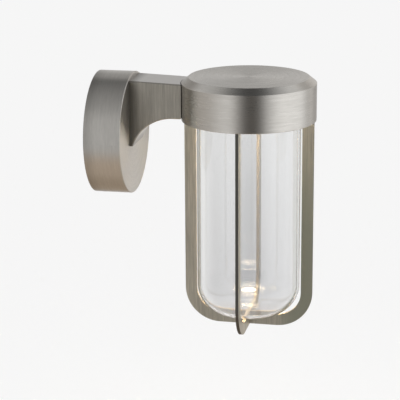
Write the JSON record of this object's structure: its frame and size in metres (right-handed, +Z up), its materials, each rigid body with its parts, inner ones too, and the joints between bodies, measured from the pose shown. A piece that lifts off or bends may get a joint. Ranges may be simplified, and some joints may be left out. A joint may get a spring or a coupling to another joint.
{
  "type": "wall lamp",
  "caption": "Wall lamp with a round rose, a short curved bracket, a brushed steel cap over a clear glass jar, and a cage of crossed flat bars around the glass.",
  "frame": {"origin": "centre of the two wall slots and of the rose, on the wall plane", "axes": "+X right seen from the front, +Y into the wall, +Z up; the lamp stands out along -Y"},
  "size_m": [0.109, 0.1795, 0.2096],
  "materials": {
    "steel": "satin, fine brushed grain",
    "zinc_steel": "zinc plated",
    "screw_steel": "plain stainless",
    "aluminium": "mill finish",
    "brass": "plain",
    "glass": "clear, polished",
    "rubber_black": "matt",
    "rubber_clear": "translucent silicone",
    "plastic_white": "matt",
    "board_white": "solder mask",
    "cable_grey": "cable sheath",
    "cable_red": "wire insulation",
    "phosphor": "phosphor coat, lit warm white"
  },
  "bodies": {
    "wall_plate": {"wall_plate": "zinc_steel", "wall_gasket": "rubber_black", "cable_grommet": "rubber_black", "earth_screw": "brass"},
    "lamp": {"wall_rose": "steel", "arm": "steel", "cap": "steel", "cage_plate_along": "steel", "cage_plate_across": "steel", "cage_ring": "steel", "rose_screws": "screw_steel", "cap_screws": "screw_steel", "tray_screws": "screw_steel", "driver_screws": "screw_steel", "holder_screws": "screw_steel", "ring_screws": "screw_steel", "block_screw": "screw_steel", "rose_seal": "rubber_black", "cap_seal": "rubber_black", "glass_gasket_top": "rubber_clear", "glass_gasket_low": "rubber_clear", "cap_clamp": "aluminium", "gear_tray": "aluminium", "driver": "plastic_white", "driver_lead": "cable_grey", "terminal_block": "plastic_white", "terminal_screws": "brass", "led_board": "board_white", "led_chip": "phosphor", "led_holder": "plastic_white", "led_wires": "cable_red", "glass": "glass"},
    "set_screw_left": {"set_screw_left": "screw_steel"},
    "set_screw_right": {"set_screw_right": "screw_steel"}
  },
  "joints": [
    {"name": "lamp_lift_off", "type": "slide", "parent": "wall_plate", "child": "lamp", "axis": [0, -1, 0], "range_m": [0, 0.04]},
    {"name": "set_screw_left_run", "type": "slide", "parent": "lamp", "child": "set_screw_left", "axis": [-0.342, 0, -0.9397], "range_m": [0, 0.004]},
    {"name": "set_screw_right_run", "type": "slide", "parent": "lamp", "child": "set_screw_right", "axis": [0.342, 0, -0.9397], "range_m": [0, 0.004]}
  ]
}
